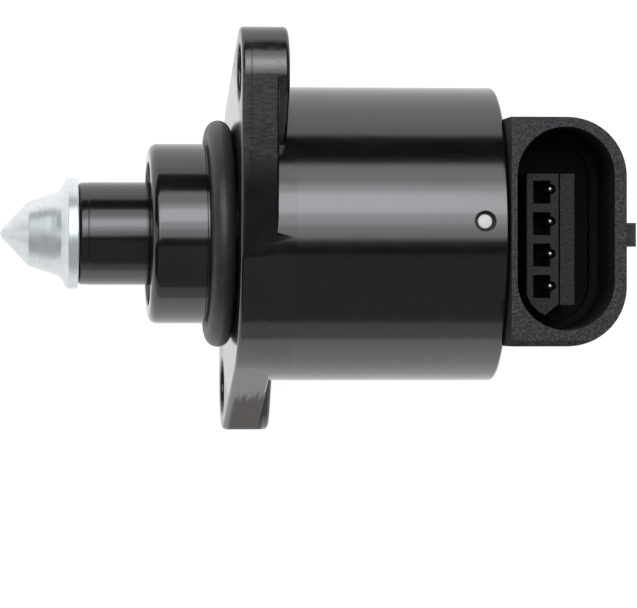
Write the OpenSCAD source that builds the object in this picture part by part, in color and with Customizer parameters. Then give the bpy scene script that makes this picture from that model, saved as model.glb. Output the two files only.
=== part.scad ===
// Linear stepper idle air control valve.
// The valve's axis is X, with the pintle towards -X and the connector at the +X end.
// The origin lies on the axis, in the flange's front mounting face.
// +Z is the direction that the connector's mouth opens to.

/* [Pintle] */
// Length of the pintle head, from its tip to its rear face
pintle_l = 8.85; // [8.6:0.05:10]
// Diameter of the pintle's rim
pintle_rim_d = 12.7; // [12.4:0.1:13.4]
// Thickness of the pintle's rim
pintle_rim_t = 1.15; // [0.9:0.05:1.4]
// Diameter where the tip's cone ends
pintle_cone_d = 7.16; // [6.8:0.1:7.6]
// Radius on the very tip of the cone
pintle_tip_r = 0.9; // [0.5:0.1:1.2]
// Diameter where the taper meets the flare
pintle_waist_d = 8.9; // [8.6:0.1:9.2]
// Length of the spigot that guides the pintle in its sleeve
pintle_spigot_l = 2.6; // [2.2:0.1:3.2]
// How far the pintle travels out of the valve
pintle_travel = 8.0; // [6:0.5:8.5]

/* [Guide sleeve] */
// Outer diameter of the guide sleeve
sleeve_d = 11.8; // [11.5:0.1:12]
// Wall of the guide sleeve
sleeve_wall = 1.2; // [1:0.05:1.3]
// How far the sleeve stands out of the nose
sleeve_out = 8.0; // [7.4:0.1:8.6]
// Depth of the sleeve's seat in the nose
sleeve_seat = 5.5; // [4.8:0.1:5.8]

/* [Nose and seal] */
// Diameter of the nose that enters the throttle body
nose_d = 20.66; // [20.4:0.02:21.2]
// Length of the nose in front of the mounting face
nose_l = 9.5; // [9.2:0.1:10.5]
// Radius on the nose's front edge
nose_edge_r = 0.95; // [0.5:0.05:1.1]
// Outer diameter of the ring-shaped recess in the nose's front face
recess_d = 16.6; // [15:0.2:17.2]
// Depth of that recess
recess_h = 0.6; // [0.3:0.1:1]
// Thickness of the O-ring's section
oring_t = 3.1; // [2.9:0.05:3.3]
// Inner diameter of the O-ring in its groove
oring_in_d = 20.34; // [20.1:0.02:20.4]

/* [Flange] */
// Thickness of the flange between its lugs
flange_t = 4.2; // [3.8:0.1:4.5]
// Thickness of the flange at its two lugs
lug_t = 5.6; // [5:0.1:6]
// Distance between the two fixing holes
hole_spacing = 45.0; // [43:0.5:48]
// Diameter of the fixing holes
hole_d = 6.5; // [5.5:0.1:6.8]
// Chamfer at the mouths of the fixing holes
hole_chamfer = 0.35; // [0.2:0.05:0.5]
// Radius of the flange's ends round the holes
ear_r = 5.3; // [5:0.1:5.8]
// Angle from +Y towards +Z of the line through the holes
flange_clock = 37.5; // [0:0.5:60]

/* [Can] */
// Outer diameter of the can and of the housing's collar
can_d = 33.8; // [33.2:0.1:34.6]
// Wall of the can
can_wall = 1.0; // [0.8:0.05:1.2]
// Distance from the mounting face to the can's front edge
can_front = 6.3; // [6:0.1:6.8]
// Radius of the rear edge, where the can is rolled over the moulding
can_edge_r = 1.0; // [0.8:0.1:1.4]
// Diameter of the opening that the rolled edge leaves
can_mouth_d = 26.9; // [26:0.1:28]
// Length of the collar's spigot inside the can
spigot_l = 3.1; // [2.6:0.1:3.4]

/* [Lead screw and guide] */
// Outer diameter of the lead screw
screw_d = 3.6; // [3.4:0.1:3.8]
// Distance across the screw's two flats
screw_flats = 2.7; // [2.5:0.1:3]
// Depth of the screw's seat in the pintle
screw_seat = 4.4; // [3.6:0.1:4.8]
// Diameter of the screw guide's disc
guide_d = 14.0; // [13.4:0.1:15]
// Diameter of the screw guide's boss inside the spring
guide_boss_d = 5.6; // [5:0.1:6]
// Length of that boss
guide_boss_l = 2.0; // [1:0.1:3]
// Length of the threaded stretch in the rotor's hub
nut_l = 8.0; // [6:0.5:9]

/* [Pintle spring] */
// Diameter of the spring's wire
wire_d = 0.7; // [0.5:0.05:0.8]
// Mean diameter of the spring
spring_d = 7.1; // [6.9:0.1:7.4]
// Number of active turns
spring_turns = 5; // [4:1:6]

/* [Rotor] */
// Outer diameter of the ball bearing
bearing_d = 19.0; // [18.4:0.1:19.6]
// Bore of the ball bearing
bearing_bore = 6.0; // [5.8:0.1:6.4]
// Width of the ball bearing
bearing_w = 6.0; // [5.6:0.1:6.2]
// Diameter of the bearing's balls
ball_d = 3.96; // [3.6:0.02:4]
// Number of the bearing's balls
ball_n = 7; // [5:1:8]
// Wall of the bearing's outer race at its shoulders
outer_race_wall = 1.4; // [1.2:0.05:1.6]
// Wall of the bearing's inner race at its shoulders
inner_race_wall = 1.5; // [1.3:0.05:1.6]
// Width of the snap ring that holds the bearing
snap_ring_w = 1.2; // [1:0.1:1.4]
// Thickness of the snap ring
snap_ring_t = 0.8; // [0.6:0.05:1]
// Depth of the snap ring's groove
snap_groove = 0.7; // [0.5:0.05:0.9]
// Width of the dished washer that loads the bearing
washer_w = 1.4; // [1.2:0.1:1.6]
// Diameter of the rotor's hub inside the magnet
hub_d = 9.2; // [9:0.1:9.8]
// Outer diameter of the ring magnet
magnet_d = 16.4; // [15.8:0.1:16.6]
// Diameter of the rotor's rear journal
journal_d = 6.4; // [6:0.1:6.8]
// Wall of the rear bush
bush_wall = 1.55; // [1.2:0.05:1.8]
// Length of the rear bush
bush_l = 3.0; // [2.5:0.1:3.2]

/* [Stator] */
// Length of one phase of the stator
phase_l = 8.05; // [7.8:0.05:8.4]
// Thickness of the stator's sheet steel
sheet_t = 0.8; // [0.6:0.05:1]
// Number of claws on each cup and plate
claw_n = 6; // [4:1:6]
// Width of a claw at its root
claw_root_w = 3.4; // [3:0.1:3.6]
// Width of a claw at its tip
claw_tip_w = 2.0; // [1.6:0.1:2.4]
// Outer diameter of the bobbins' flanges
bobbin_d = 29.2; // [28:0.1:29.6]
// Wall of the bobbins
bobbin_wall = 0.7; // [0.5:0.05:0.9]
// Outer diameter of the coils
coil_d = 28.2; // [26:0.1:28.8]

/* [Connector] */
// Depth of the moulding's disc inside the can
disc_t = 3.7; // [3.5:0.1:4.2]
// Width of the connector along the valve's axis
tower_w = 13.0; // [12.6:0.1:14]
// Height of the connector across the valve's axis
tower_h = 25.7; // [25.2:0.1:27]
// Distance from the valve's axis to the connector's rim
tower_top = 17.5; // [17:0.1:19]
// Radius of the connector's two outer corners
tower_corner_r = 6.7; // [4:0.1:6.9]
// Width of the bevel along the rim's two ends
rim_bevel = 0.65; // [0.3:0.05:0.8]
// Height of the connector's rear face where its underside starts to slope
slope_z = -2.0; // [-4:0.5:0]
// Width of the mouth along the valve's axis
mouth_w = 11.0; // [10.8:0.1:11.4]
// Height of the mouth across the valve's axis
mouth_h = 22.8; // [22:0.1:23.2]
// Offset of the mouth towards +Y
mouth_shift = 0.35; // [0:0.05:0.6]
// Wall between the can and the mouth
mouth_wall = 0.65; // [0.6:0.05:1]
// Depth of the mouth down to its ledge
mouth_depth = 12.5; // [12:0.1:13]
// Width of the ledge round the mouth's floor
ledge_w = 0.9; // [0.6:0.05:1.2]
// Depth of the floor below the ledge
ledge_h = 1.6; // [1:0.1:2]
// Width of the latch tab
tab_w = 2.65; // [2:0.05:3.4]
// How far the latch tab stands out
tab_out = 1.45; // [1:0.05:1.8]
// Distance from the valve's axis to the latch tab's top
tab_top = 15.0; // [13:0.1:16]
// Offset of the latch tab towards +Y
tab_shift = -0.3; // [-0.6:0.1:0.6]

/* [Tongue and terminals] */
// Width of the tongue along the valve's axis
tongue_w = 5.4; // [5.2:0.1:5.6]
// Height of the tongue across the valve's axis
tongue_h = 14.8; // [14.4:0.1:15.4]
// Offset of the tongue towards +Y
tongue_shift = -0.8; // [-1:0.05:-0.4]
// How far the tongue's top lies below the rim
tongue_drop = 4.5; // [4.3:0.1:6]
// Gap between the mouth's inner wall and the tongue
tongue_gap = 1.7; // [1.4:0.1:2]
// Length of the tongue's foot, which keys the plug
foot_l = 1.15; // [0.8:0.05:1.3]
// Rail between the tongue's side and the terminals' pockets
rail_w = 0.7; // [0.6:0.05:0.9]
// Width of the terminals' pockets
pocket_w = 2.0; // [1.8:0.05:2.1]
// Height of the terminals' pockets
pocket_h = 2.62; // [2.4:0.02:2.8]
// Distance between neighbouring pockets
pocket_pitch = 3.55; // [3.5:0.01:3.7]
// Depth of the terminals' pockets
pocket_depth = 6.0; // [5:0.1:7]
// Distance between neighbouring terminals
pin_pitch = 3.65; // [3.6:0.01:3.7]
// Offset of the terminals from their pockets towards +Y
pin_shift = 0.2; // [0:0.05:0.3]
// Diameter of the terminals
pin_d = 0.8; // [0.7:0.05:0.9]
// Diameter of the round notch round each terminal
notch_d = 1.1; // [1:0.05:1.3]
// Width of the slot behind the terminals
slot_w = 0.18; // [0.1:0.02:0.3]
// Depth of that slot
slot_h = 1.2; // [0.8:0.1:2]
// Diameter of the coding peg on the socket's floor
peg_d = 1.2; // [1:0.1:1.4]

/* [Staking hole] */
// Diameter of the round hole near the can's rear edge
stake_hole_d = 2.3; // [2:0.1:2.6]
// Diameter of the resin plug inside that hole
plug_d = 1.6; // [1.4:0.1:1.8]
// Distance from the hole to the can's rear edge
stake_inset = 2.8; // [2.6:0.1:3]
// Angle of the hole from +Z towards +Y
stake_clock = 4; // [-20:1:20]

/* [Clearances] */
// Gap between pieces that are assembled face to face
seat_gap = 0.05; // [0.02:0.01:0.08]
// Radial clearance of the running and sliding fits
run_gap = 0.05; // [0.03:0.01:0.08]
// Axial clearance between the rotor and what stands still
end_gap = 0.3; // [0.2:0.05:0.4]
// Air gap between the magnet and the claws
air_gap = 0.25; // [0.2:0.05:0.4]

/* [Hidden] */
terminal_n = 4;
$fn = 72;
edge_fn = 24;
eps = 0.01;

// Radii
rim_r = pintle_rim_d / 2;
cone_r = pintle_cone_d / 2;
waist_r = pintle_waist_d / 2;
sleeve_r = sleeve_d / 2;
sleeve_in_r = sleeve_r - sleeve_wall;
spigot_r = sleeve_in_r - 4 * run_gap;
nose_r = nose_d / 2;
recess_r = recess_d / 2;
oring_r = oring_t / 2;
groove_r = oring_in_d / 2;
can_r = can_d / 2;
can_in_r = can_r - can_wall;
can_mouth_r = can_mouth_d / 2;
screw_r = screw_d / 2;
guide_r = guide_d / 2;
bearing_r = bearing_d / 2;
bore_r = bearing_bore / 2;
washer_r = bearing_r - 2 * run_gap;
ball_r = ball_d / 2;
outer_race_r = bearing_r - outer_race_wall;
inner_race_r = bore_r + inner_race_wall;
pitch_r = (outer_race_r + inner_race_r) / 2;
hub_r = hub_d / 2;
magnet_r = magnet_d / 2;
journal_r = journal_d / 2;
bush_in_r = journal_r + run_gap;
bush_r = bush_in_r + bush_wall;
claw_in_r = magnet_r + air_gap;
claw_r = claw_in_r + sheet_t;
cup_in_r = can_in_r - sheet_t;
bobbin_r = bobbin_d / 2;
coil_r = coil_d / 2;
coil_in_r = claw_r + bobbin_wall;

// Stations along the valve's axis
nose_x = -nose_l;
sleeve_x = nose_x - sleeve_out;
sleeve_end_x = nose_x + sleeve_seat;
pintle_back_x = sleeve_x - 2 * seat_gap;
tip_x = pintle_back_x - pintle_l;
spigot_x = pintle_back_x + pintle_spigot_l;
web_t = 1.0;
guide_x = sleeve_end_x + web_t;
shoulder_x = 0.2;
washer_h = 0.8;
bearing_x = shoulder_x + washer_h;
bearing_end_x = bearing_x + bearing_w;
bearing_mid_x = bearing_x + bearing_w / 2;
snap_x = bearing_end_x + seat_gap;
spigot_end_x = can_front + spigot_l;
stator_x = spigot_end_x;
stator_end_x = stator_x + 2 * phase_l;
disc_x = stator_end_x;
disc_end_x = disc_x + disc_t;
can_end_x = disc_end_x + can_wall;
journal_x = disc_x - end_gap + 0.1;
bush_x = disc_x + 0.1;
bush_end_x = bush_x + bush_l;
hub_front_x = shoulder_x + 0.4;
hub_end_x = bush_end_x - 0.2;
magnet_x = stator_x + 0.2;
magnet_end_x = journal_x - 0.4;
nut_x = bearing_end_x;
screw_end_x = nut_x + nut_l + pintle_travel + 1;
pocket_end_x = bush_end_x + 0.1;

// Flange outline: the ends' circles and the collar's circle with their common tangents
hole_r = hole_d / 2;
hole_at = hole_spacing / 2;
tangent_a = acos((can_r - ear_r) / hole_at);

// Connector
tower_x = can_end_x + seat_gap;
tower_end_x = tower_x + tower_w;
tower_r = tower_h / 2;
mouth_x = tower_x + mouth_wall;
mouth_end_x = mouth_x + mouth_w;
mouth_r = mouth_w / 2;
ledge_z = tower_top - mouth_depth;
floor_z = ledge_z - ledge_h;
tongue_x = mouth_x + tongue_gap;
tongue_end_x = tongue_x + tongue_w;
tongue_y = tongue_shift - tongue_h / 2;
tongue_z = tower_top - tongue_drop;
pocket_x = tongue_x + rail_w;
pocket_z = tongue_z - pocket_depth;
pin_x = pocket_x + pocket_w + 0.05;
pin_top_z = tongue_z - 0.4;
pin_leg_z = floor_z - 2.2;
pin_start_x = disc_x + 0.6;
pin_start_z = bush_r + 3.2;
pin_bend_x = pocket_end_x + 0.85;
slot_x = pocket_x + pocket_w + 0.9;
peg_x = mouth_x + mouth_r;
peg_y = tongue_y - foot_l;

// Turns a drawing's X and Y into the valve's Y and Z, and its height into the valve's X
module to_x() rotate([90, 0, 90]) children();

// A tube or disc round the valve's axis
module ring(r_in, r_out, x0, x1)
    to_x() translate([0, 0, x0]) linear_extrude(x1 - x0) difference() {
        circle(r_out);
        if (r_in > 0) circle(r_in);
    }

// A drawing of radius and station turned round the valve's axis
module turned() to_x() rotate_extrude() children();

// Half section of a disc with rounded outer edges, ready to be turned
module edge_section(r, x0, x1, e0, e1) {
    translate([0, x0]) square([r - max(e0, e1), x1 - x0]);
    translate([0, x0 + e0]) square([r, x1 - x0 - e0 - e1]);
    translate([0, x0]) square([r - e0, (x1 - x0) / 2]);
    translate([0, (x0 + x1) / 2]) square([r - e1, (x1 - x0) / 2]);
    translate([r - e0, x0 + e0]) circle(e0, $fn = edge_fn);
    translate([r - e1, x1 - e1]) circle(e1, $fn = edge_fn);
}

// Outline of the flange: two ears, the collar's circle and their common tangents
module flange_outline() {
    side = [cos(tangent_a), sin(tangent_a)];
    circle(can_r);
    for (half = [0, 180]) rotate(half) {
        translate([hole_at, 0]) circle(ear_r);
        polygon([[0, 0], can_r * side, [hole_at, 0] + ear_r * side, [hole_at, 0],
                 [hole_at + ear_r * side[0], -ear_r * side[1]], [can_r * side[0], -can_r * side[1]]]);
    }
}

// Outline of the thicker lugs, straight from the collar to the ears' ends
module lug_outline() {
    for (half = [-1, 1]) translate([half * hole_at, 0]) circle(ear_r);
    square([hole_spacing, 2 * ear_r], center = true);
}

// A fixing hole with chamfered mouths
module fixing_hole() {
    translate([0, 0, -1]) cylinder(r = hole_r, h = lug_t + 2);
    translate([0, 0, -eps]) cylinder(r1 = hole_r + hole_chamfer, r2 = hole_r, h = hole_chamfer);
    translate([0, 0, lug_t - hole_chamfer + eps])
        cylinder(r1 = hole_r, r2 = hole_r + hole_chamfer, h = hole_chamfer);
}

// The die-cast housing: nose, flange, collar and the spigot that carries the can
module flange_housing() color([0.13, 0.13, 0.14]) difference() {
    union() {
        to_x() rotate([0, 0, flange_clock]) {
            linear_extrude(flange_t) flange_outline();
            linear_extrude(lug_t) lug_outline();
        }
        turned() edge_section(nose_r, nose_x, flange_t / 2, nose_edge_r, 0.01);
        ring(0, can_r, flange_t / 2, can_front);
        ring(0, can_in_r, can_front - 1, spigot_end_x);
    }
    ring(sleeve_r, recess_r, nose_x - 1, nose_x + recess_h);
    ring(0, sleeve_r, nose_x - 1, sleeve_end_x);
    ring(0, sleeve_in_r, sleeve_end_x - eps, guide_x + eps);
    ring(0, guide_r, guide_x, shoulder_x + eps);
    ring(0, bearing_r, shoulder_x, spigot_end_x + 1);
    ring(0, bearing_r + snap_groove, snap_x, snap_x + snap_ring_t + seat_gap);
    ring(groove_r, nose_r + 1, -oring_t - 2 * seat_gap, 0);
    to_x() for (half = [0, 180]) rotate([0, 0, flange_clock + half])
        translate([hole_at, 0, 0]) fixing_hole();
}

// The dark tube that guides the pintle, with a fine groove near its front edge
module guide_sleeve() color([0.16, 0.16, 0.16]) turned() difference() {
    edge_section(sleeve_r, sleeve_x, sleeve_end_x, 0.35, 0.2);
    translate([-1, sleeve_x - 1]) square([sleeve_in_r + 1, sleeve_end_x - sleeve_x + 2]);
    translate([sleeve_r - 0.08, sleeve_x + 0.75]) square([1, 0.25]);
}

// Outline of the pintle's head: rounded tip, cone, taper, hollow flare and rim
tip_c = tip_x + pintle_tip_r;
cone_x = tip_c - pintle_tip_r * cos(45) + cone_r - pintle_tip_r * sin(45);
rim_x = pintle_back_x - pintle_rim_t;
flare_r = rim_r - waist_r;
flare_x = rim_x - flare_r;
pintle_outline = concat(
    [for (i = [0:4]) let (a = i * 45 / 4) [pintle_tip_r * sin(a), tip_c - pintle_tip_r * cos(a)]],
    [[cone_r, cone_x]],
    [for (i = [0:7]) let (a = i * 90 / 7) [rim_r - flare_r * cos(a), flare_x + flare_r * sin(a)]],
    [[rim_r + eps, rim_x + 0.12], [rim_r + eps, pintle_back_x - 0.12],
     [rim_r - 0.12, pintle_back_x], [0, pintle_back_x]]);

// The plated pintle, with the spigot and the screw's seat behind its rim
module pintle() color([0.86, 0.87, 0.89]) difference() {
    union() {
        turned() polygon(pintle_outline);
        ring(0, spigot_r, pintle_back_x - 0.5, spigot_x);
    }
    ring(0, screw_r, pintle_back_x - screw_seat, spigot_x + 1);
}

// Section of the lead screw with its two flats
module screw_section(gap) intersection() {
    circle(screw_r + gap);
    square([2 * screw_r + 4, screw_flats + 2 * gap], center = true);
}

// The lead screw: a round seat in the pintle and a flatted shank
module lead_screw() color([0.72, 0.72, 0.74]) {
    ring(0, screw_r, pintle_back_x - screw_seat, spigot_x);
    to_x() translate([0, 0, spigot_x - eps]) linear_extrude(screw_end_x - spigot_x) screw_section(0);
}

// Station of the spring's wire at a turn t, with a closed turn at each end
spring_x0 = spigot_x + wire_d / 2 + seat_gap;
spring_x1 = guide_x - wire_d / 2 - seat_gap;
closed_p = wire_d * 1.06;
active_p = (spring_x1 - spring_x0 - 2 * closed_p) / spring_turns;
spring_total = spring_turns + 2;
function spring_at(t) = t < 1 ? spring_x0 + closed_p * t
    : t > spring_turns + 1 ? spring_x1 - closed_p * (spring_total - t)
    : spring_x0 + closed_p + active_p * (t - 1);
ring_steps = 20;
wire_sides = 8;
ring_count = spring_total * ring_steps + 1;
spring_points = [for (i = [0:ring_count - 1], j = [0:wire_sides - 1])
    let (t = i / ring_steps, a = 360 * t, b = 360 * j / wire_sides,
         r = spring_d / 2 + wire_d / 2 * cos(b))
    [spring_at(t) + wire_d / 2 * sin(b), r * cos(a), r * sin(a)]];
spring_faces = concat(
    [[for (j = [0:wire_sides - 1]) j]],
    [for (i = [0:ring_count - 2], j = [0:wire_sides - 1])
        let (k = (j + 1) % wire_sides, m = i * wire_sides, n = m + wire_sides)
        [m + j, n + j, n + k, m + k]],
    [[for (j = [wire_sides - 1:-1:0]) (ring_count - 1) * wire_sides + j]]);

// The spring that holds the pintle against the thread's play
module pintle_spring() color([0.6, 0.61, 0.63]) polyhedron(spring_points, spring_faces, convexity = 10);

// The moulded disc that stops the lead screw turning
module screw_guide() color([0.85, 0.83, 0.76]) difference() {
    union() {
        ring(0, guide_r, guide_x, shoulder_x);
        ring(0, guide_boss_d / 2, guide_x - guide_boss_l, guide_x + eps);
    }
    to_x() translate([0, 0, guide_x - guide_boss_l - 1]) linear_extrude(guide_boss_l + 10)
        screw_section(run_gap);
}

// The seal between the nose and the throttle body
module o_ring() color([0.08, 0.08, 0.08])
    turned() translate([groove_r + oring_r, -oring_r - seat_gap]) circle(oring_r);

// The dished washer that loads the bearing
module spring_washer() color([0.65, 0.66, 0.68]) turned()
    polygon([[washer_r - washer_w, shoulder_x], [washer_r, bearing_x - washer_h / 2],
             [washer_r, bearing_x], [washer_r - washer_w, shoulder_x + washer_h / 2]]);

// The bearing's fixed race
module bearing_outer_race() color([0.7, 0.71, 0.73]) turned() difference() {
    translate([outer_race_r, bearing_x]) square([outer_race_wall, bearing_w]);
    translate([pitch_r, bearing_mid_x]) circle(ball_r + run_gap);
}

// The bearing's turning race, pressed on the rotor's hub
module bearing_inner_race() color([0.7, 0.71, 0.73]) turned() difference() {
    translate([bore_r, bearing_x]) square([inner_race_wall, bearing_w]);
    translate([pitch_r, bearing_mid_x]) circle(ball_r + run_gap);
}

// Places a child once for each ball
module at_balls() for (i = [0:ball_n - 1])
    rotate([i * 360 / ball_n, 0, 0]) translate([bearing_mid_x, pitch_r, 0]) children();

// The bearing's balls
module bearing_balls() color([0.8, 0.81, 0.83]) at_balls() sphere(ball_r);

// The crown cage that spaces the balls, open on one side
module bearing_cage() color([0.75, 0.6, 0.3]) difference() {
    ring(pitch_r - 0.6, pitch_r + 0.6, bearing_mid_x - 0.8, bearing_end_x - 0.3);
    at_balls() rotate([-90, 0, 0]) cylinder(r = ball_r + run_gap, h = 4, center = true);
}

// The split ring that holds the bearing in its seat
module snap_ring() color([0.35, 0.35, 0.37]) difference() {
    ring(bearing_r + snap_groove - seat_gap - snap_ring_w, bearing_r + snap_groove - seat_gap,
         snap_x + seat_gap / 2, snap_x + snap_ring_t);
    translate([snap_x - 1, -1.6, -bearing_r - snap_groove - 1])
        cube([snap_ring_t + 2, 3.2, snap_ring_w + snap_groove + 3]);
}

// The rotor's hub: bearing seat, shoulder, magnet seat, rear journal and the nut's bore
module rotor_hub() color([0.75, 0.62, 0.35]) difference() {
    union() {
        ring(0, bore_r, hub_front_x, bearing_end_x + eps);
        ring(0, hub_r, bearing_end_x, journal_x);
        ring(0, journal_r, journal_x - eps, hub_end_x);
    }
    ring(0, screw_r + 3 * run_gap, hub_front_x - 1, nut_x + eps);
    ring(0, screw_r + run_gap, nut_x, nut_x + nut_l + eps);
    ring(0, screw_r + 6 * run_gap, nut_x + nut_l, hub_end_x - 1);
}

// The ring magnet round the hub
module rotor_magnet() color([0.22, 0.21, 0.2]) turned() difference() {
    edge_section(magnet_r, magnet_x, magnet_end_x, 0.3, 0.3);
    translate([-1, magnet_x - 1]) square([hub_r + 1, magnet_end_x - magnet_x + 2]);
}

// The sintered bush that carries the rotor's rear journal
module rear_bush() color([0.6, 0.45, 0.3]) ring(bush_in_r, bush_r, bush_x, bush_end_x);

// Tapered claws standing on a plate, shaped round the magnet
claw_l = phase_l - 2 * sheet_t - 0.8;
module claws(clock) intersection() {
    ring(claw_in_r, claw_r, sheet_t - eps, sheet_t + claw_l);
    for (i = [0:claw_n - 1]) rotate([clock + i * 360 / claw_n, 0, 0])
        translate([sheet_t - eps, 0, 0]) linear_extrude(claw_r + 1)
            polygon([[0, -claw_root_w / 2], [claw_l + 2 * eps, -claw_tip_w / 2],
                     [claw_l + 2 * eps, claw_tip_w / 2], [0, claw_root_w / 2]]);
}

// A stator cup: end wall, rim and claws, with its wall at the drawing's origin
module stator_cup(clock) {
    ring(claw_in_r, can_in_r, 0, sheet_t);
    ring(cup_in_r, can_in_r, 0, phase_l);
    claws(clock);
}

// The plate that closes a cup, with claws that stand between the cup's own
module stator_plate(clock) {
    ring(claw_in_r, cup_in_r, 0, sheet_t);
    claws(clock);
}

half_pitch = 180 / claw_n;
phase_shift = half_pitch / 2;
module front_stator_cup() color([0.55, 0.56, 0.58]) translate([stator_x, 0, 0]) stator_cup(0);
module front_stator_plate() color([0.5, 0.51, 0.53])
    translate([stator_x + phase_l, 0, 0]) mirror([1, 0, 0]) stator_plate(half_pitch);
module rear_stator_plate() color([0.5, 0.51, 0.53])
    translate([stator_x + phase_l, 0, 0]) stator_plate(phase_shift);
module rear_stator_cup() color([0.55, 0.56, 0.58])
    translate([stator_end_x, 0, 0]) mirror([1, 0, 0]) stator_cup(phase_shift + half_pitch);

// A coil's spool between a cup's wall and its plate
module bobbin(x0) color([0.82, 0.8, 0.72]) difference() {
    ring(claw_r, bobbin_r, x0 + sheet_t, x0 + phase_l - sheet_t);
    ring(coil_in_r, bobbin_r + 1, x0 + sheet_t + bobbin_wall, x0 + phase_l - sheet_t - bobbin_wall);
}

// A wound coil on its spool
module coil(x0) color([0.72, 0.4, 0.2])
    ring(coil_in_r, coil_r, x0 + sheet_t + bobbin_wall, x0 + phase_l - sheet_t - bobbin_wall);

module front_bobbin() bobbin(stator_x);
module rear_bobbin() bobbin(stator_x + phase_l);
module front_coil() coil(stator_x);
module rear_coil() coil(stator_x + phase_l);

// Places a child on the can's wall at the staking hole
module at_stake() translate([can_end_x - stake_inset, 0, 0]) rotate([-stake_clock, 0, 0]) children();

// The drawn can, rolled over the moulding's disc at its rear edge
module motor_can() color([0.15, 0.15, 0.16]) difference() {
    turned() difference() {
        edge_section(can_r, can_front, can_end_x, seat_gap, can_edge_r);
        translate([-1, can_front - 1]) square([can_in_r + 1, disc_end_x - can_front + 1]);
        translate([-1, disc_end_x - 1]) square([can_mouth_r + 1, can_wall + 3]);
    }
    at_stake() cylinder(r = stake_hole_d / 2, h = can_r + 1);
}

// The resin that fills the staking hole's middle
module staking_plug() color([0.9, 0.9, 0.86]) at_stake()
    translate([0, 0, can_in_r - 1.4]) cylinder(r = plug_d / 2, h = can_wall + 1.3);

// Outline of the connector seen from its mouth
module tower_outline() {
    c = tower_corner_r;
    translate([tower_x, -tower_r]) square([tower_w - c, tower_h]);
    translate([tower_x, -tower_r + c]) square([tower_w, tower_h - 2 * c]);
    for (side = [-1, 1]) translate([tower_end_x - c, side * (tower_r - c)]) circle(c);
}

// Outline of the connector seen along the valve's axis: round below, straight above
module end_outline() {
    circle(tower_r);
    translate([-tower_r, 0]) square([tower_h, tower_top]);
}

// Outline of the mouth, or of the floor inside its ledge
module mouth_outline(inset) {
    r = mouth_r - inset;
    y = mouth_h / 2 - mouth_r;
    translate([mouth_x + mouth_r, mouth_shift]) {
        for (side = [-1, 1]) translate([0, side * y]) circle(r);
        translate([-r, -y]) square([2 * r, 2 * y]);
    }
}

// Station of the i-th of the terminals or of their pockets, across the valve's axis
function row_y(i, shift, pitch) = tongue_shift + shift + (i - (terminal_n - 1) / 2) * pitch;

// Outline of the tongue, with a foot at its lower end that keys the plug
module tongue_outline() {
    translate([tongue_x, tongue_y]) square([tongue_w, tongue_h]);
    translate([tongue_x, tongue_y])
        polygon([[0, foot_l], [foot_l / 2, 0], [1.2 * foot_l, -0.66 * foot_l], [1.8 * foot_l, -foot_l],
                 [3 * foot_l, 0], [3 * foot_l, foot_l]]);
}

// The tongue in the socket, with a pocket and a round notch for each terminal
module tongue() difference() {
    translate([0, 0, floor_z - 0.5]) linear_extrude(tongue_z - floor_z + 0.5) difference() {
        tongue_outline();
        translate([tongue_x - eps, tongue_y - eps]) polygon([[0, 0], [0, foot_l], [foot_l / 2, 0]]);
    }
    for (i = [0:terminal_n - 1]) {
        translate([pocket_x, row_y(i, 0, pocket_pitch) - pocket_h / 2, pocket_z])
            cube([pocket_w, pocket_h, pocket_depth + 1]);
        translate([pin_x, row_y(i, pin_shift, pin_pitch), pocket_z])
            cylinder(r = notch_d / 2, h = pocket_depth + 1);
    }
    translate([slot_x, tongue_y - 1, tongue_z - slot_h]) cube([slot_w, tongue_h + 2, slot_h + 1]);
}

// One terminal: a leg buried in the moulding and a round pin with a domed end
module terminal_shape(i) translate([0, row_y(i, pin_shift, pin_pitch), 0]) {
    pin_r = pin_d / 2;
    translate([pin_start_x, 0, pin_start_z]) rotate([0, 90, 0]) cylinder(r = pin_r, h = pin_bend_x - pin_start_x);
    translate([pin_bend_x, 0, pin_start_z]) sphere(pin_r);
    translate([pin_bend_x, 0, pin_leg_z]) cylinder(r = pin_r, h = pin_start_z - pin_leg_z);
    translate([pin_bend_x, 0, pin_leg_z]) sphere(pin_r);
    translate([pin_bend_x, 0, pin_leg_z]) rotate([0, 90, 0]) cylinder(r = pin_r, h = pin_x - pin_bend_x);
    translate([pin_x, 0, pin_leg_z]) sphere(pin_r);
    translate([pin_x, 0, pin_leg_z]) cylinder(r = pin_r, h = pin_top_z - pin_r - pin_leg_z);
    translate([pin_x, 0, pin_top_z - pin_r]) sphere(pin_r);
}

module terminal(i) color([0.82, 0.8, 0.7]) terminal_shape(i);

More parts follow.
